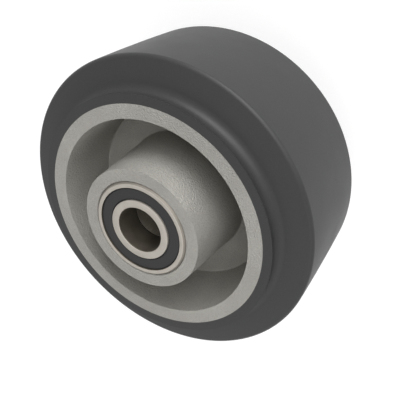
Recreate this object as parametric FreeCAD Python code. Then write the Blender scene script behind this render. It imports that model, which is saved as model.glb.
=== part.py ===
import FreeCAD, Part
import math
import os

# A rubber-tyred wheel on a cast centre with a sealed ball bearing at each end of its hub.
# Lengths are millimetres and angles degrees. The wheel turns about Z, its origin is the
# centre of the wheel, and the front end, the one that is seen, faces +Z.

# Tyre
tyre_diameter = 101.6
tyre_collar_width = 2.9
tyre_shoulder_undercut = 1.6
tyre_shoulder_height = 4.6
tyre_side_fall = 1.3
tyre_tread_rounding = 1.3
tyre_collar_rounding = 0.1
tyre_foot_rounding = 2.5

# Cast wheel centre
rim_outside_diameter = 75.7
rim_width = 50.8
rim_edge_wall = 4.6
rim_draft = 4.8
web_thickness = 10.0
hub_length = 61.4
hub_end_wall = 4.1
hub_draft = 4.5
recess_corner_rounding = 0.6
seat_step = 2.0
seat_mouth_chamfer = 0.25

# Ball bearings
bearing_bore = 15.0
bearing_diameter = 32.0
bearing_width = 9.0
bearing_proud = 0.25
outer_ring_corner = 0.7
outer_ring_from_pitch = 1.65
outer_ring_mouth_step = 0.7
inner_ring_corner = 0.25
inner_ring_from_pitch = 1.75
ball_diameter = 4.762
ball_count = 9
race_groove_relief = 0.1

# Ball cage, two pressed strips riveted together between the balls
cage_width = 2.0
cage_sheet = 0.3
rivet_diameter = 0.9
rivet_head_diameter = 1.6
rivet_head_height = 0.35

# Bearing seals, a steel plate with rubber moulded on its outboard side
seal_recess = 0.4
seal_web_thickness = 0.45
seal_margin_width = 0.55
seal_margin_depth = 0.35
seal_margin_slope = 0.1
seal_bead_width = 0.45
seal_bead_rise = 0.15
seal_bead_thickness = 0.45
seal_plate_thickness = 0.25
seal_lip_width = 0.65

# Spacer tube between the two inner rings
spacer_inset = 0.3
spacer_corner = 0.25

# Clearances
seat_clearance = 0.01
ball_clearance = 0.05
cage_clearance = 0.1
rivet_clearance = 0.02
seal_bead_clearance = 0.03
seal_lip_clearance = 0.06
spacer_bore_clearance = 0.05

# Sizes that follow from the ones above
tyre_collar_diameter = rim_outside_diameter + 2 * tyre_collar_width
tyre_foot_diameter = tyre_collar_diameter - 2 * tyre_shoulder_undercut
rim_mouth_diameter = rim_outside_diameter - 2 * rim_edge_wall
hub_end_diameter = bearing_diameter + 2 * hub_end_wall
hub_core_diameter = bearing_diameter - 2 * seat_step
ball_pitch_diameter = (bearing_bore + bearing_diameter) / 2
inner_ring_diameter = ball_pitch_diameter - 2 * inner_ring_from_pitch
outer_ring_shoulder_diameter = ball_pitch_diameter + 2 * outer_ring_from_pitch
outer_ring_mouth_diameter = outer_ring_shoulder_diameter + 2 * outer_ring_mouth_step
race_groove_radius = ball_diameter / 2 + race_groove_relief
cage_inside_diameter = ball_pitch_diameter - cage_width
cage_outside_diameter = ball_pitch_diameter + cage_width
spacer_outside_diameter = inner_ring_diameter - 2 * spacer_inset

AXIS = FreeCAD.Vector(0, 0, 1)
CENTRE = FreeCAD.Vector(0, 0, 0)
FULL_TURN = 360.0


def corner_points(before, corner, after, rounding):
    """Start, middle and end of the arc that rounds one corner of an outline."""
    to_before = (before - corner).normalize()
    to_after = (after - corner).normalize()
    half_angle = to_before.getAngle(to_after) / 2
    setback = rounding / math.tan(half_angle)
    to_arc = rounding / math.sin(half_angle) - rounding
    bisector = (to_before + to_after).normalize()
    return corner + to_before * setback, corner + bisector * to_arc, corner + to_after * setback


def turned(corners):
    """A solid turned about Z from outline corners of (radius, height, rounding)."""
    points = [FreeCAD.Vector(radius, 0, height) for radius, height, rounding in corners]
    count = len(points)
    starts = list(points)
    ends = list(points)
    edges = []
    for index, (radius, height, rounding) in enumerate(corners):
        if rounding > 0:
            before = points[index - 1]
            after = points[(index + 1) % count]
            start, middle, end = corner_points(before, points[index], after, rounding)
            starts[index] = start
            ends[index] = end
            edges.append(Part.Arc(start, middle, end).toShape())
    for index in range(count):
        edges.append(Part.makeLine(ends[index], starts[(index + 1) % count]))
    outline = Part.Wire(Part.__sortEdges__(edges))
    return Part.Face(outline).revolve(CENTRE, AXIS, FULL_TURN)


def both_ends(corners):
    """Adds to outline corners above the wheel's middle their mirror images below it."""
    return corners + [(radius, -height, rounding) for radius, height, rounding in reversed(corners)]


def tyre():
    """Rubber tyre bonded to the rim, with an undercut collar flush with the rim's edges."""
    collar_height = rim_width / 2
    foot_height = collar_height - tyre_shoulder_height
    return turned(both_ends([
        (rim_outside_diameter / 2, collar_height, 0),
        (tyre_collar_diameter / 2, collar_height, tyre_collar_rounding),
        (tyre_foot_diameter / 2, foot_height, tyre_foot_rounding),
        (tyre_diameter / 2, foot_height - tyre_side_fall, tyre_tread_rounding),
    ]))


def wheel_centre():
    """One casting: rim, web and hub, with a seat for a bearing in each end of the hub."""
    rim_face = rim_width / 2
    web_face = web_thickness / 2
    hub_face = hub_length / 2
    rim_foot = rim_mouth_diameter / 2 - (rim_face - web_face) * math.tan(math.radians(rim_draft))
    hub_foot = hub_end_diameter / 2 + (hub_face - web_face) * math.tan(math.radians(hub_draft))
    seat_radius = bearing_diameter / 2 + seat_clearance
    seat_floor = hub_face + bearing_proud - bearing_width
    return turned(both_ends([
        (hub_core_diameter / 2, seat_floor, 0),
        (seat_radius, seat_floor, 0),
        (seat_radius, hub_face - seat_mouth_chamfer, 0),
        (seat_radius + seat_mouth_chamfer, hub_face, 0),
        (hub_end_diameter / 2, hub_face, 0),
        (hub_foot, web_face, recess_corner_rounding),
        (rim_foot, web_face, recess_corner_rounding),
        (rim_mouth_diameter / 2, rim_face, 0),
        (rim_outside_diameter / 2, rim_face, 0),
    ]))


def spacer_tube():
    """Steel tube that keeps the two inner rings apart on the axle."""
    inside = bearing_bore / 2 + spacer_bore_clearance
    outside = spacer_outside_diameter / 2
    end = hub_length / 2 + bearing_proud - bearing_width
    return turned(both_ends([
        (inside, end - spacer_corner, 0),
        (inside + spacer_corner, end, 0),
        (outside - spacer_corner, end, 0),
        (outside, end - spacer_corner, 0),
    ]))


def race_groove(race_radius):
    """The ring of metal that the ball groove takes away, centred at race_radius."""
    return Part.makeTorus(race_radius, race_groove_radius)


def outer_ring():
    """Outer ring, with a snap groove for a seal beside each face."""
    face = bearing_width / 2
    outside = bearing_diameter / 2
    mouth = outer_ring_mouth_diameter / 2
    snap_top = face - seal_recess - seal_margin_depth + seal_bead_rise
    snap_floor = face - seal_recess - seal_web_thickness - seal_bead_thickness
    snap_bottom = mouth + seal_bead_width
    ring = turned(both_ends([
        (outer_ring_shoulder_diameter / 2, snap_floor, 0),
        (snap_bottom, snap_floor, 0),
        (snap_bottom, snap_top, 0),
        (mouth, snap_top, 0),
        (mouth, face, 0),
        (outside - outer_ring_corner, face, 0),
        (outside, face - outer_ring_corner, 0),
    ]))
    groove_centre = (ball_pitch_diameter + ball_diameter) / 2 + ball_clearance - race_groove_radius
    return ring.cut(race_groove(groove_centre))


def inner_ring():
    """Inner ring, which the axle passes through."""
    face = bearing_width / 2
    bore = bearing_bore / 2
    ring = turned(both_ends([
        (bore, face - inner_ring_corner, 0),
        (bore + inner_ring_corner, face, 0),
        (inner_ring_diameter / 2, face, 0),
    ]))
    groove_centre = (ball_pitch_diameter - ball_diameter) / 2 - ball_clearance + race_groove_radius
    return ring.cut(race_groove(groove_centre))


def around(shape, first_angle):
    """Copies of a shape, one for each ball, spaced evenly about the axis."""
    copies = []
    for index in range(ball_count):
        copy = shape.copy()
        copy.rotate(CENTRE, AXIS, first_angle + index * FULL_TURN / ball_count)
        copies.append(copy)
    return copies


def sphere_at_pitch(radius):
    """A ball shape on the pitch circle."""
    return Part.makeSphere(radius, FreeCAD.Vector(ball_pitch_diameter / 2, 0, 0))


def balls():
    """The set of balls."""
    return Part.makeCompound(around(sphere_at_pitch(ball_diameter / 2), 0))


def rivet():
    """One rivet, its shank through both strips and a flat head on each."""
    head_radius = rivet_head_diameter / 2
    shank_radius = rivet_diameter / 2
    head_top = cage_sheet + rivet_head_height
    shank = turned([
        (0, head_top, 0),
        (head_radius, head_top, rivet_head_height / 2),
        (head_radius, cage_sheet, 0),
        (shank_radius, cage_sheet, 0),
        (shank_radius, -cage_sheet, 0),
        (head_radius, -cage_sheet, 0),
        (head_radius, -head_top, rivet_head_height / 2),
        (0, -head_top, 0),
    ])
    shank.translate(FreeCAD.Vector(ball_pitch_diameter / 2, 0, 0))
    return shank


def half_pitch():
    """Angle from a ball to the land beside it."""
    return FULL_TURN / ball_count / 2


def cage_rivets():
    """The set of rivets, one on each land between two balls."""
    return Part.makeCompound(around(rivet(), half_pitch()))


def cage_strip():
    """The outboard strip of the cage: a flat ring with a round pocket over each ball."""
    pocket_radius = ball_diameter / 2 + cage_clearance
    bulge_radius = pocket_radius + cage_sheet
    inside = cage_inside_diameter / 2
    outside = cage_outside_diameter / 2
    flat = Part.makeCylinder(outside, cage_sheet)
    strip = flat.multiFuse(around(sphere_at_pitch(bulge_radius), 0))
    band = Part.makeCylinder(outside, bulge_radius).cut(Part.makeCylinder(inside, bulge_radius))
    strip = strip.common(band)
    holes = around(sphere_at_pitch(pocket_radius), 0)
    hole = Part.makeCylinder(rivet_diameter / 2 + rivet_clearance, bulge_radius)
    hole.translate(FreeCAD.Vector(ball_pitch_diameter / 2, 0, 0))
    holes += around(hole, half_pitch())
    return strip.cut(holes)


def seal():
    """The rubber of the outboard seal: a bead in the snap groove, a web and a lip."""
    web_top = bearing_width / 2 - seal_recess
    web_bottom = web_top - seal_web_thickness
    margin = web_top - seal_margin_depth
    bead_top = margin + seal_bead_rise - seal_bead_clearance
    bead_bottom = web_bottom - seal_bead_thickness + seal_bead_clearance
    lip_bottom = web_bottom - seal_plate_thickness
    lip_inside = inner_ring_diameter / 2 + seal_lip_clearance
    lip_outside = lip_inside + seal_lip_width
    web_inside = lip_inside + seal_margin_width
    mouth = outer_ring_mouth_diameter / 2
    web_outside = mouth - seal_margin_width
    bead_inside = outer_ring_shoulder_diameter / 2
    bead_outside = mouth + seal_bead_width - seal_bead_clearance
    return turned([
        (lip_inside, margin, 0),
        (web_inside - seal_margin_slope, margin, 0),
        (web_inside, web_top, 0),
        (web_outside, web_top, 0),
        (web_outside + seal_margin_slope, margin, 0),
        (mouth - seal_bead_clearance, margin, 0),
        (mouth - seal_bead_clearance, bead_top, 0),
        (bead_outside, bead_top, 0),
        (bead_outside, bead_bottom, 0),
        (bead_inside, bead_bottom, 0),
        (bead_inside, web_bottom, 0),
        (lip_outside, web_bottom, 0),
        (lip_outside, lip_bottom, 0),
        (lip_inside, lip_bottom, 0),
    ])


def seal_plate():
    """The steel plate that stiffens the outboard seal, behind its rubber web."""
    top = bearing_width / 2 - seal_recess - seal_web_thickness
    bottom = top - seal_plate_thickness
    inside = inner_ring_diameter / 2 + seal_lip_clearance + seal_lip_width
    outside = outer_ring_shoulder_diameter / 2
    return turned([(inside, top, 0), (outside, top, 0), (outside, bottom, 0), (inside, bottom, 0)])


def other_way_round(shape):
    """The same piece turned end for end."""
    turned_over = shape.copy()
    turned_over.rotate(CENTRE, FreeCAD.Vector(1, 0, 0), FULL_TURN / 2)
    return turned_over


def bearing():
    """Every piece of one ball bearing, about its own middle, outboard face up."""
    return {
        "outer_ring": outer_ring(),
        "inner_ring": inner_ring(),
        "balls": balls(),
        "cage_outboard": cage_strip(),
        "cage_inboard": other_way_round(cage_strip()),
        "cage_rivets": cage_rivets(),
        "seal_outboard": seal(),
        "seal_inboard": other_way_round(seal()),
        "seal_plate_outboard": seal_plate(),
        "seal_plate_inboard": other_way_round(seal_plate()),
    }


def wheel():
    """Every piece of the wheel in its place, by name."""
    pieces = {"tyre": tyre(), "wheel_centre": wheel_centre(), "spacer_tube": spacer_tube()}
    bearing_middle = hub_length / 2 + bearing_proud - bearing_width / 2
    for name, shape in bearing().items():
        shape.translate(AXIS * bearing_middle)
        pieces["front_" + name] = shape
        pieces["rear_" + name] = other_way_round(shape)
    return pieces


os.makedirs("parts", exist_ok=True)
for name, shape in wheel().items():
    shape.exportStep("parts/" + name + ".step")
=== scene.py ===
import bpy
import bmesh
import math
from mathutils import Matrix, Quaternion, Vector


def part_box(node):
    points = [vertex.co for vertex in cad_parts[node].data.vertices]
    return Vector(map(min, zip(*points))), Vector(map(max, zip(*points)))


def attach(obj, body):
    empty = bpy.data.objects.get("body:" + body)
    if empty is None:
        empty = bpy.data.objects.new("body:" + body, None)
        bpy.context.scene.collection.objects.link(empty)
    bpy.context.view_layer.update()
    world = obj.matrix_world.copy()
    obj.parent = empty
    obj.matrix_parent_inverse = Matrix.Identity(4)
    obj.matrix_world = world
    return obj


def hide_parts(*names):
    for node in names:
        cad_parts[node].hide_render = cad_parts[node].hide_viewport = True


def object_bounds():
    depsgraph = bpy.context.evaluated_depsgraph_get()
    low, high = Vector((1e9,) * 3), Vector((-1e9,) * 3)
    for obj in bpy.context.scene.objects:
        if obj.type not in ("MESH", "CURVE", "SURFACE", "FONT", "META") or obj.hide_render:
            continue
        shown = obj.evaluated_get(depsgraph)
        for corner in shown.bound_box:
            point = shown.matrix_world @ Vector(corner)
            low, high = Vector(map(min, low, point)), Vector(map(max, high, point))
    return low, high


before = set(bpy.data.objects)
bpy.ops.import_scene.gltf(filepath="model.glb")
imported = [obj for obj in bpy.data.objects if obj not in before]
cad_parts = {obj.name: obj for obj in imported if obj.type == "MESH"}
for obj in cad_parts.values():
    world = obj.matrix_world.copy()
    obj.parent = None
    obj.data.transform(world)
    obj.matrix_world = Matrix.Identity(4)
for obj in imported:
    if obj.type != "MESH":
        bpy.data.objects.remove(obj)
cad_low, cad_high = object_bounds()


# Wheel centre: one grey iron casting with the rim, a solid web and a long tapered hub, poured in a
# sand mould, so its skin is finely grained all over. The bearing seats are turned in a lathe, and the
# edges of the rim and of the hub are just broken.

STEPS_ROUND = 256
SMOOTH_BELOW = math.radians(32)

# How near points have to be, in metres, to be taken for one: where a ring of edges is looked for,
# where rings meet, and where bevels meet.
RING_REACH = 1e-5
JOIN_REACH = 1e-6
BEVEL_JOIN_REACH = 1e-7


def round_piece(name, corners):
    """Models a piece turned about the wheel's axis. Its section is given as corners of (radius,
    height, rounding, steps): a ring of edges goes from corner to corner, and bevels round them."""
    bpy.ops.object.select_all(action="DESELECT")
    radius, height = corners[0][:2]
    bpy.ops.mesh.primitive_circle_add(vertices=STEPS_ROUND, radius=radius, location=(0, 0, height))
    piece = bpy.context.object
    piece.name = name
    piece.data.name = name
    bpy.ops.object.transform_apply(location=True, rotation=True, scale=True)
    bpy.ops.object.mode_set(mode="EDIT")
    bpy.ops.mesh.select_mode(type="VERT")
    bpy.ops.mesh.select_all(action="SELECT")
    for next_radius, next_height in [corner[:2] for corner in corners[1:] + corners[:1]]:
        rise = {"value": (0, 0, next_height - height)}
        bpy.ops.mesh.extrude_region_move(TRANSFORM_OT_translate=rise)
        spread = next_radius / radius
        bpy.ops.transform.resize(value=(spread, spread, 1), center_override=(0, 0, next_height))
        radius, height = next_radius, next_height
    bpy.ops.mesh.select_all(action="SELECT")
    bpy.ops.mesh.remove_doubles(threshold=JOIN_REACH)
    for index, (radius, height, rounding, steps) in enumerate(corners):
        if rounding > 0:
            before = Vector(corners[index - 1][:2]) - Vector((radius, height))
            after = Vector(corners[(index + 1) % len(corners)][:2]) - Vector((radius, height))
            select_ring(piece, radius, height)
            bpy.ops.mesh.bevel(offset_type="OFFSET", offset=rounding / math.tan(before.angle(after) / 2),
                               segments=steps, profile=0.5, affect="EDGES", clamp_overlap=False)
    bpy.ops.mesh.select_all(action="SELECT")
    bpy.ops.mesh.remove_doubles(threshold=BEVEL_JOIN_REACH)
    bpy.ops.mesh.normals_make_consistent(inside=False)
    bpy.ops.object.mode_set(mode="OBJECT")
    bpy.ops.object.shade_smooth_by_angle(angle=SMOOTH_BELOW)
    bpy.ops.object.modifier_add(type="WEIGHTED_NORMAL")
    piece.modifiers[-1].keep_sharp = True
    bpy.ops.object.modifier_apply(modifier=piece.modifiers[-1].name)
    return piece


def select_ring(piece, radius, height):
    """Selects the ring of edges at one radius and height."""
    bpy.ops.mesh.select_all(action="DESELECT")
    mesh = bmesh.from_edit_mesh(piece.data)
    for vertex in mesh.verts:
        off_radius = abs(vertex.co.xy.length - radius)
        off_height = abs(vertex.co.z - height)
        vertex.select = off_radius < RING_REACH and off_height < RING_REACH
    mesh.select_flush(True)
    bmesh.update_edit_mesh(piece.data)


def both_ends(corners):
    """Adds to the corners of the front half their mirror images at the rear."""
    return corners + [(radius, -height, rounding, steps)
                      for radius, height, rounding, steps in reversed(corners)]


def new_material(name, metallic, specular):
    """Starts a material, and returns it with its shader and its object coordinates."""
    material = bpy.data.materials.new(name)
    material.use_nodes = True
    nodes = material.node_tree.nodes
    shader = nodes["Principled BSDF"]
    shader.inputs["Metallic"].default_value = metallic
    shader.inputs["Specular IOR Level"].default_value = specular
    place = nodes.new("ShaderNodeTexCoord")
    return material, shader, place.outputs["Object"]


def noise(material, place, size, detail, roughness=0.5, stretch=(1, 1, 1)):
    """A noise whose grains are about one size across, in metres, and can be stretched."""
    nodes = material.node_tree.nodes
    links = material.node_tree.links
    mapping = nodes.new("ShaderNodeMapping")
    mapping.inputs["Scale"].default_value = [1 / (size * along) for along in stretch]
    links.new(place, mapping.inputs["Vector"])
    grain = nodes.new("ShaderNodeTexNoise")
    grain.inputs["Scale"].default_value = 1
    grain.inputs["Detail"].default_value = detail
    grain.inputs["Roughness"].default_value = roughness
    links.new(mapping.outputs["Vector"], grain.inputs["Vector"])
    return grain.outputs["Fac"]


NOISE_LOW = 0.3
NOISE_HIGH = 0.7


def between(material, pattern, at_low, at_high, low=NOISE_LOW, high=NOISE_HIGH):
    """Runs from one number, where a pattern is low, to another, where it is high."""
    ranged = material.node_tree.nodes.new("ShaderNodeMapRange")
    ranged.inputs["From Min"].default_value = low
    ranged.inputs["From Max"].default_value = high
    ranged.inputs["To Min"].default_value = at_low
    ranged.inputs["To Max"].default_value = at_high
    material.node_tree.links.new(pattern, ranged.inputs["Value"])
    return ranged.outputs["Result"]


def tinted(material, pattern, dark, light):
    """Runs from a dark colour, where a noise is low, to a light one, where it is high."""
    ramp = material.node_tree.nodes.new("ShaderNodeValToRGB")
    ramp.color_ramp.elements[0].position = NOISE_LOW
    ramp.color_ramp.elements[0].color = (*dark, 1)
    ramp.color_ramp.elements[1].position = NOISE_HIGH
    ramp.color_ramp.elements[1].color = (*light, 1)
    material.node_tree.links.new(pattern, ramp.inputs["Fac"])
    return ramp.outputs["Color"]


def shaded_by(material, colour, pattern, amount):
    """Darkens and lightens a colour by a broad pattern."""
    mix = material.node_tree.nodes.new("ShaderNodeMix")
    mix.data_type = "RGBA"
    mix.blend_type = "OVERLAY"
    mix.inputs["Factor"].default_value = amount
    material.node_tree.links.new(colour, mix.inputs["A"])
    material.node_tree.links.new(pattern, mix.inputs["B"])
    return mix.outputs["Result"]


def feed_shader(material, shader, colour, roughness):
    """Leads a colour and a roughness to the shader."""
    material.node_tree.links.new(colour, shader.inputs["Base Color"])
    material.node_tree.links.new(roughness, shader.inputs["Roughness"])


def raised(material, shader, pattern, height):
    """Raises the surface by a pattern, up to a height in metres."""
    bump = material.node_tree.nodes.new("ShaderNodeBump")
    bump.inputs["Strength"].default_value = 1
    bump.inputs["Distance"].default_value = height
    material.node_tree.links.new(pattern, bump.inputs["Height"])
    material.node_tree.links.new(bump.outputs["Normal"], shader.inputs["Normal"])


def finish_piece(piece, material, body, node):
    """Gives a piece its material, and puts it on its body in the place of its CAD node."""
    piece.data.materials.clear()
    piece.data.materials.append(material)
    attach(piece, body)
    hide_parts(node)


centre_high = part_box("wheel_centre")[1]
rim_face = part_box("tyre")[1].z
rim_radius = centre_high.x
rim_wall = 0.0046
rim_draft = math.radians(4.8)
rim_rounding = 0.00018
web_face = 0.005
web_fillet = 0.0006
rim_mouth = rim_radius - rim_wall
rim_foot = rim_mouth - (rim_face - web_face) * math.tan(rim_draft)

seat_low, seat_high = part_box("front_outer_ring")
seat_clearance = 0.00001
seat_radius = seat_high.x + seat_clearance
seat_floor = seat_low.z
seat_ledge = 0.00201
seat_chamfer = 0.00025
core_rounding = 0.0002
hub_face = centre_high.z
hub_wall = 0.0041
hub_draft = math.radians(4.5)
hub_rounding = 0.0001
hub_radius = seat_high.x + hub_wall
hub_foot = hub_radius + (hub_face - web_face) * math.tan(hub_draft)

centre = round_piece("cast_centre", both_ends([
    (seat_radius - seat_ledge, seat_floor, core_rounding, 2),
    (seat_radius, seat_floor, 0, 0),
    (seat_radius, hub_face - seat_chamfer, 0, 0),
    (seat_radius + seat_chamfer, hub_face, 0, 0),
    (hub_radius, hub_face, hub_rounding, 2),
    (hub_foot, web_face, web_fillet, 5),
    (rim_foot, web_face, web_fillet, 5),
    (rim_mouth, rim_face, rim_rounding, 3),
    (rim_radius, rim_face, 0, 0),
]))

cast_iron, shader, place = new_material("sand_cast_iron", metallic=0.24, specular=0.3)
shader.inputs["Specular Tint"].default_value = (1, 0.93, 0.82, 1)
grain = noise(cast_iron, place, size=0.00055, detail=2, roughness=0.7)
cloud = noise(cast_iron, place, size=0.009, detail=4)
colour = tinted(cast_iron, grain, dark=(0.308, 0.3, 0.277), light=(0.34, 0.332, 0.307))
colour = shaded_by(cast_iron, colour, cloud, amount=0.15)
roughness = between(cast_iron, grain, at_low=0.54, at_high=0.27)
feed_shader(cast_iron, shader, colour, roughness)
raised(cast_iron, shader, grain, height=0.00048)
finish_piece(centre, cast_iron, "wheel", "wheel_centre")


# Tyre: grey rubber, moulded round the rim and bonded to it. It has a plain tread, crowned by a hair
# and rounded at its edges, sides that fall a little, and at each side an undercut collar that ends
# flush with the rim's face.

collar_wall = 0.0029
collar_depth = 0.0042
collar_undercut = 0.0018
foot_fillet = 0.003
side_fall = 0.0017
tread_crown = 0.0002
tread_rounding = 0.0013
collar_radius = rim_radius + collar_wall
foot_radius = collar_radius - collar_undercut
foot_height = rim_face - collar_depth
tread_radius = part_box("tyre")[1].x
tread_edge = foot_height - side_fall
tread_rings = [(tread_radius - tread_crown * share ** 2, tread_edge * share, 0, 0)
               for share in (0.75, 0.5, 0.25)]
tyre = round_piece("rubber_tyre", both_ends([
    (rim_radius, rim_face, 0, 0),
    (collar_radius, rim_face, 0, 0),
    (foot_radius, foot_height, foot_fillet, 16),
    (tread_radius - tread_crown, tread_edge, tread_rounding, 10),
] + tread_rings))

grey_rubber, shader, place = new_material("moulded_rubber", metallic=0, specular=0.28)
grain = noise(grey_rubber, place, size=0.0004, detail=3, roughness=0.6)
cloud = noise(grey_rubber, place, size=0.012, detail=4)
colour = tinted(grey_rubber, grain, dark=(0.026, 0.026, 0.0265), light=(0.032, 0.032, 0.0325))
colour = shaded_by(grey_rubber, colour, cloud, amount=0.12)
roughness = between(grey_rubber, cloud, at_low=0.46, at_high=0.52)
feed_shader(grey_rubber, shader, colour, roughness)
raised(grey_rubber, shader, grain, height=0.00001)
finish_piece(tyre, grey_rubber, "wheel", "tyre")


# Spacer tube: drawn steel tube between the two inner rings, cut to length with its ends rounded. Only
# its bore shows, past the dark joint at the end of each inner ring; its ends and outside are painted
# near black as painted shade in that joint.


def by_radius(material, place, steps, farthest):
    """A value that changes in steps with the distance from the wheel's axis, out to the farthest.
    Each step is the radius at which it starts, in metres, and the value from there on."""
    nodes = material.node_tree.nodes
    links = material.node_tree.links
    flat = nodes.new("ShaderNodeVectorMath")
    flat.operation = "MULTIPLY"
    flat.inputs[1].default_value = (1, 1, 0)
    reach = nodes.new("ShaderNodeVectorMath")
    reach.operation = "LENGTH"
    links.new(place, flat.inputs[0])
    links.new(flat.outputs["Vector"], reach.inputs[0])
    share = between(material, reach.outputs["Value"], at_low=0, at_high=1, low=0, high=farthest)
    ramp = nodes.new("ShaderNodeValToRGB")
    ramp.color_ramp.interpolation = "CONSTANT"
    stops = ramp.color_ramp.elements
    stops.remove(stops[1])
    for start, value in steps:
        stop = stops.new(start / farthest) if start > 0 else stops[0]
        stop.color = (value, value, value, 1)
    links.new(share, ramp.inputs["Fac"])
    return ramp.outputs["Color"]


def blended(material, share, outside, inside):
    """One colour where the share is zero, and another where it is one."""
    mix = material.node_tree.nodes.new("ShaderNodeMix")
    mix.data_type = "RGBA"
    material.node_tree.links.new(share, mix.inputs["Factor"])
    material.node_tree.links.new(outside, mix.inputs["A"])
    material.node_tree.links.new(inside, mix.inputs["B"])
    return mix.outputs["Result"]


spacer_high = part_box("spacer_tube")[1]
spacer_bore = 0.00755
spacer_rounding = 0.00025
joint_shade_start = spacer_bore + 0.00002
spacer = round_piece("spacer_sleeve", both_ends([
    (spacer_bore, spacer_high.z, spacer_rounding, 3),
    (spacer_high.x, spacer_high.z, spacer_rounding, 3),
]))

spacer_steel, shader, place = new_material("drawn_tube_steel", metallic=0.8, specular=0.5)
draw_marks = noise(spacer_steel, place, size=0.0002, detail=3, stretch=(1, 1, 40))
stain = noise(spacer_steel, place, size=0.004, detail=4)
colour = tinted(spacer_steel, draw_marks, dark=(0.4, 0.365, 0.31), light=(0.5, 0.46, 0.395))
colour = shaded_by(spacer_steel, colour, stain, amount=0.3)
# Painted shade: near black on the spacer's ends and outside, for the shade in each joint.
joint_shade = tinted(spacer_steel, stain, dark=(0.006, 0.0055, 0.005), light=(0.012, 0.011, 0.01))
joint_shaded = by_radius(spacer_steel, place, [(0, 0), (joint_shade_start, 1)], farthest=0.02)
colour = blended(spacer_steel, joint_shaded, colour, joint_shade)
roughness = between(spacer_steel, stain, at_low=0.42, at_high=0.55)
feed_shader(spacer_steel, shader, colour, roughness)
raised(spacer_steel, shader, draw_marks, height=0.000004)
finish_piece(spacer, spacer_steel, "axle_side", "spacer_tube")


# Bearing outer rings: ground bearing steel, pressed into the seats of the hub. Each has chamfered
# outer corners, a groove for the balls, and a snap groove for a seal beside each face.

ring_low, ring_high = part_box("front_outer_ring")
bearing_middle = (ring_low.z + ring_high.z) / 2
ring_face = ring_high.z - bearing_middle
ring_chamfer = 0.0007
chamfer_rounding = 0.0003
ball_circle = 0.01175
ball_diameter = 0.004762
ball_gap = 0.00005
groove_play = 0.0001
groove_radius = ball_diameter / 2 + groove_play
shoulder = ball_circle + 0.00165
mouth = shoulder + 0.0007
mouth_rounding = 0.00006
snap_depth = mouth + 0.00045
snap_top = ring_face - 0.0006
snap_floor = ring_face - 0.0013
snap_rounding = 0.0001
inner_radius = ball_circle - 0.00175
bore_radius = 0.0075


def at_bearing(corners):
    """Corners of a bearing's piece, moved from the wheel's middle to the front bearing's."""
    return [(radius, height + bearing_middle, rounding, steps)
            for radius, height, rounding, steps in corners]


def ball_groove(land_radius, centre_radius):
    """Corners of the balls' groove in a ring's land: a kink between its two edges, which a bevel
    rounds to the groove's arc."""
    offset = land_radius - centre_radius
    half_width = math.sqrt(groove_radius ** 2 - offset ** 2)
    kink_radius = centre_radius + groove_radius ** 2 / offset
    return [
        (land_radius, -half_width, 0, 0),
        (kink_radius, 0, groove_radius, 12),
        (land_radius, half_width, 0, 0),
    ]


def other_end(piece, name):
    """A copy of a piece, with its own mesh, turned end for end."""
    bpy.ops.object.select_all(action="DESELECT")
    bpy.context.view_layer.objects.active = piece
    piece.select_set(True)
    bpy.ops.object.duplicate(linked=False)
    copy = bpy.context.object
    copy.name = name
    copy.data.name = name
    bpy.ops.transform.rotate(value=math.pi, orient_axis="X", center_override=(0, 0, 0))
    bpy.ops.object.transform_apply(location=True, rotation=True, scale=True)
    return copy


outer_groove = ball_groove(shoulder, ball_circle + ball_diameter / 2 + ball_gap - groove_radius)
outer_ring = round_piece("outer_race", at_bearing(both_ends([
    (shoulder, snap_floor, 0, 0),
    (snap_depth, snap_floor, snap_rounding, 2),
    (snap_depth, snap_top, snap_rounding, 2),
    (mouth, snap_top, 0, 0),
    (mouth, ring_face, mouth_rounding, 2),
    (ring_high.x - ring_chamfer, ring_face, chamfer_rounding, 4),
    (ring_high.x, ring_face - ring_chamfer, chamfer_rounding, 4),
]) + outer_groove))

bearing_steel, shader, place = new_material("ground_ring_steel", metallic=0.5, specular=0.4)
grinding_marks = noise(bearing_steel, place, size=0.00012, detail=2)
haze = noise(bearing_steel, place, size=0.0035, detail=4)
colour = tinted(bearing_steel, haze, dark=(0.365, 0.338, 0.3), light=(0.41, 0.383, 0.343))
# A dark steel colour for painted shade.
painted_shade = tinted(bearing_steel, haze, dark=(0.075, 0.065, 0.051), light=(0.102, 0.09, 0.071))

# Painted shade darkens the bore and the gaps inside and outside the seal. On the outer ring's chamfer
# the darkening is partly painted shade and partly the darker unground steel of the chamfer.
painted_shade_share = by_radius(bearing_steel, place, [
    (0, 1),
    (bore_radius + 0.0001, 0),
    (inner_radius - 0.000015, 1),
    (inner_radius + 0.0002, 0),
    (mouth - 0.0001, 1),
    (mouth + 0.00002, 0),
    (ring_high.x - ring_chamfer + 0.00002, 0.6),
], farthest=0.017)
colour = blended(bearing_steel, painted_shade_share, colour, painted_shade)
roughness = between(bearing_steel, haze, at_low=0.46, at_high=0.56)
feed_shader(bearing_steel, shader, colour, roughness)
raised(bearing_steel, shader, grinding_marks, height=0.000003)
finish_piece(outer_ring, bearing_steel, "wheel", "front_outer_ring")
finish_piece(other_end(outer_ring, "outer_race_rear"), bearing_steel, "wheel", "rear_outer_ring")


# Bearing inner rings: the same ground steel. Each fits the axle with its bore, and its face stands
# bare inside the seal.

bore_chamfer = 0.00025
bore_rounding = 0.0001
edge_rounding = 0.00008
inner_groove = ball_groove(inner_radius, ball_circle - ball_diameter / 2 - ball_gap + groove_radius)
inner_ring = round_piece("inner_race", at_bearing(inner_groove + both_ends([
    (inner_radius, ring_face, edge_rounding, 2),
    (bore_radius + bore_chamfer, ring_face, bore_rounding, 2),
    (bore_radius, ring_face - bore_chamfer, bore_rounding, 2),
])))
finish_piece(inner_ring, bearing_steel, "axle_side", "front_inner_ring")
finish_piece(other_end(inner_ring, "inner_race_rear"), bearing_steel, "axle_side", "rear_inner_ring")


# Balls: nine to each bearing, through-hardened steel, lapped to a mirror and thinly greased. They are
# the solids as they stand.


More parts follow.
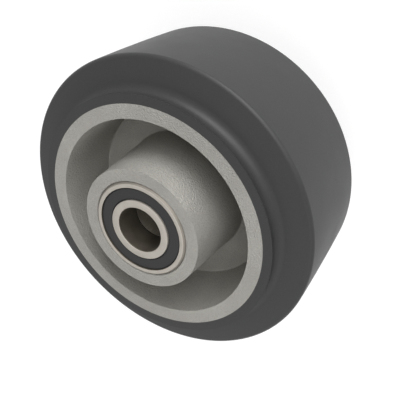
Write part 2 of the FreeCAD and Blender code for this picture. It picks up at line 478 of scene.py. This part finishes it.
def dress_node(name, material):
    """Gives a CAD node its material, in each of its slots."""
    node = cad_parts[name]
    if not node.material_slots:
        node.data.materials.append(material)
    for slot in node.material_slots:
        slot.material = material


ball_steel, shader, place = new_material("lapped_ball_steel", metallic=1, specular=0.5)
grease = noise(ball_steel, place, size=0.0012, detail=3)
colour = tinted(ball_steel, grease, dark=(0.52, 0.51, 0.49), light=(0.62, 0.61, 0.59))
roughness = between(ball_steel, grease, at_low=0.08, at_high=0.2)
feed_shader(ball_steel, shader, colour, roughness)
for end in ("front_", "rear_"):
    dress_node(end + "balls", ball_steel)


# Cages and rivets: two strips of soft steel, pressed to the shape of the balls, and one rivet between
# each two balls to hold the strips together. They are the solids as they stand.

cage_steel, shader, place = new_material("pressed_cage_steel", metallic=0.9, specular=0.5)
pressing = noise(cage_steel, place, size=0.0005, detail=4)
colour = tinted(cage_steel, pressing, dark=(0.38, 0.37, 0.34), light=(0.5, 0.485, 0.45))
roughness = between(cage_steel, pressing, at_low=0.3, at_high=0.48)
feed_shader(cage_steel, shader, colour, roughness)
raised(cage_steel, shader, pressing, height=0.00001)
for end in ("front_", "rear_"):
    dress_node(end + "cage_outboard", cage_steel)
    dress_node(end + "cage_inboard", cage_steel)
    dress_node(end + "cage_rivets", cage_steel)


# Seals: black nitrile rubber moulded on a thin steel plate, snapped into the outer ring. The web
# stands a little back from the faces of the rings, and its lip runs just clear of the inner ring.
# The inboard seals and the plates don't show, and are the solids as they stand.

seal_play = 0.00003
web_top = ring_face - 0.0003
web_bottom = ring_face - 0.00085
seal_rounding = 0.00008
groove_floor = web_top - 0.0004
groove_rounding = 0.00004
lip_inside = inner_radius + 0.00006
lip_outside = lip_inside + 0.00065
lip_bottom = web_bottom - 0.00025
lip_rounding = 0.00006
inner_groove_edge = lip_inside + 0.0003
web_inside = lip_inside + 0.00042
web_outside = mouth - 0.00036
outer_groove_edge = mouth - 0.00026
neck_outside = mouth - seal_play
bead_outside = snap_depth - seal_play
bead_top = snap_top - seal_play
bead_bottom = web_bottom - 0.00042
seal = round_piece("seal_lip_ring", at_bearing([
    (lip_inside, groove_floor, groove_rounding, 2),
    (inner_groove_edge, groove_floor, groove_rounding, 2),
    (web_inside, web_top, seal_rounding, 3),
    (web_outside, web_top, seal_rounding, 3),
    (outer_groove_edge, groove_floor, groove_rounding, 2),
    (neck_outside, groove_floor, 0, 0),
    (neck_outside, bead_top, 0, 0),
    (bead_outside, bead_top, seal_rounding, 2),
    (bead_outside, bead_bottom, seal_rounding, 2),
    (shoulder, bead_bottom, 0, 0),
    (shoulder, web_bottom, 0, 0),
    (lip_outside, web_bottom, 0, 0),
    (lip_outside, lip_bottom, lip_rounding, 2),
    (lip_inside, lip_bottom, lip_rounding, 2),
]))

seal_rubber, shader, place = new_material("nitrile_seal", metallic=0, specular=0.2)
grain = noise(seal_rubber, place, size=0.0003, detail=3, roughness=0.6)
bloom = noise(seal_rubber, place, size=0.003, detail=4)
colour = tinted(seal_rubber, grain, dark=(0.026, 0.026, 0.0265), light=(0.032, 0.032, 0.0325))
colour = shaded_by(seal_rubber, colour, bloom, amount=0.15)
roughness = between(seal_rubber, bloom, at_low=0.5, at_high=0.62)
feed_shader(seal_rubber, shader, colour, roughness)
raised(seal_rubber, shader, grain, height=0.000008)
finish_piece(seal, seal_rubber, "wheel", "front_seal_outboard")
finish_piece(other_end(seal, "seal_lip_ring_rear"), seal_rubber, "wheel", "rear_seal_outboard")

plate_steel, shader, place = new_material("stamped_plate_steel", metallic=0.9, specular=0.5)
scale_marks = noise(plate_steel, place, size=0.0008, detail=4)
colour = tinted(plate_steel, scale_marks, dark=(0.3, 0.3, 0.29), light=(0.42, 0.415, 0.4))
roughness = between(plate_steel, scale_marks, at_low=0.35, at_high=0.5)
feed_shader(plate_steel, shader, colour, roughness)
for end in ("front_", "rear_"):
    dress_node(end + "seal_inboard", seal_rubber)
    dress_node(end + "seal_plate_outboard", plate_steel)
    dress_node(end + "seal_plate_inboard", plate_steel)


# Studio: a pale floor in an even white room, with soft lamps low before and behind the tread and
# weaker ones above it. The camera looks down on the front end, rolled so that the wheel seems to lean.

LAMP_DISTANCE = 0.6


def shown_rays(tree):
    """One for the rays that show the background to the camera, in metal or through glass."""
    ray = tree.nodes.new("ShaderNodeLightPath")
    shown = ray.outputs["Is Camera Ray"]
    for kind in ("Is Glossy Ray", "Is Transmission Ray"):
        either = tree.nodes.new("ShaderNodeMath")
        either.operation = "MAXIMUM"
        tree.links.new(shown, either.inputs[0])
        tree.links.new(ray.outputs[kind], either.inputs[1])
        shown = either.outputs["Value"]
    return shown


def soft_lamp(name, azimuth, elevation, size, power):
    """A round soft lamp that looks at the wheel's middle, placed by angles in degrees."""
    height = LAMP_DISTANCE * math.sin(math.radians(elevation))
    across = LAMP_DISTANCE * math.cos(math.radians(elevation))
    sideways = across * math.sin(math.radians(azimuth))
    forward = across * math.cos(math.radians(azimuth))
    place = Vector((sideways, -forward, height))
    bpy.ops.object.light_add(type="AREA", location=place)
    lamp = bpy.context.object
    lamp.name = name
    lamp.data.shape = "DISK"
    lamp.data.size = size
    lamp.data.energy = power
    lamp.rotation_euler = (-place).to_track_quat("-Z", "Y").to_euler()
    return lamp


bpy.ops.object.select_all(action="DESELECT")
bpy.ops.mesh.primitive_plane_add(size=4, location=(0, 0, cad_low.z))
floor = bpy.context.object
floor.name = "studio_floor"
bpy.ops.object.transform_apply(location=True, rotation=True, scale=True)
floor_paint = bpy.data.materials.new("floor_paint")
floor_paint.use_nodes = True
floor_tree = floor_paint.node_tree
floor_glow = 0.62
floor_shader = floor_tree.nodes["Principled BSDF"]
floor_shader.inputs["Base Color"].default_value = (0.45, 0.45, 0.45, 1)
floor_shader.inputs["Roughness"].default_value = 0.9
floor_shader.inputs["Emission Color"].default_value = (1, 1, 1, 1)
glow = floor_tree.nodes.new("ShaderNodeMath")
glow.operation = "MULTIPLY"
glow.inputs[1].default_value = floor_glow
floor_tree.links.new(shown_rays(floor_tree), glow.inputs[0])
floor_tree.links.new(glow.outputs["Value"], floor_shader.inputs["Emission Strength"])
floor.data.materials.append(floor_paint)

world = bpy.data.worlds.new("studio_room")
bpy.context.scene.world = world
world.use_nodes = True
world_tree = world.node_tree
room_light = world_tree.nodes["Background"]
room_light.inputs["Color"].default_value = (1, 1, 1, 1)
room_light.inputs["Strength"].default_value = 0.26
white_room = world_tree.nodes.new("ShaderNodeBackground")
white_room.inputs["Color"].default_value = (1, 1, 1, 1)
white_room.inputs["Strength"].default_value = 1
choose = world_tree.nodes.new("ShaderNodeMixShader")
world_tree.links.new(shown_rays(world_tree), choose.inputs["Fac"])
world_tree.links.new(room_light.outputs["Background"], choose.inputs[1])
world_tree.links.new(white_room.outputs["Background"], choose.inputs[2])
world_tree.links.new(choose.outputs["Shader"], world_tree.nodes["World Output"].inputs["Surface"])

soft_lamp("key_lamp", azimuth=24, elevation=12, size=0.4, power=3.3)
soft_lamp("front_lamp", azimuth=3, elevation=35, size=0.4, power=1.9)
soft_lamp("side_lamp", azimuth=262, elevation=45, size=0.5, power=0.7)
soft_lamp("top_lamp", azimuth=180, elevation=75, size=0.5, power=0.42)
fill_lamp = soft_lamp("fill_lamp", azimuth=207, elevation=9, size=0.4, power=2.9)
fill_lamp.visible_glossy = False

eye = Vector((0, -0.12272, 0.13670))
aim = Vector((-0.00284, -0.01078, -0.00827))
view = aim - eye
roll = Quaternion(view.normalized(), math.radians(131.62))
camera_data = bpy.data.cameras.new("camera")
camera_data.lens = 47.71
camera_data.shift_x = -0.0679
camera_data.shift_y = -0.0848
camera_data.clip_start = 0.01
camera = bpy.data.objects.new("camera", camera_data)
bpy.context.scene.collection.objects.link(camera)
camera.location = eye
camera.rotation_mode = "QUATERNION"
camera.rotation_quaternion = roll @ view.to_track_quat("-Z", "Y")
bpy.context.scene.camera = camera
bpy.context.scene.view_settings.view_transform = "Standard"
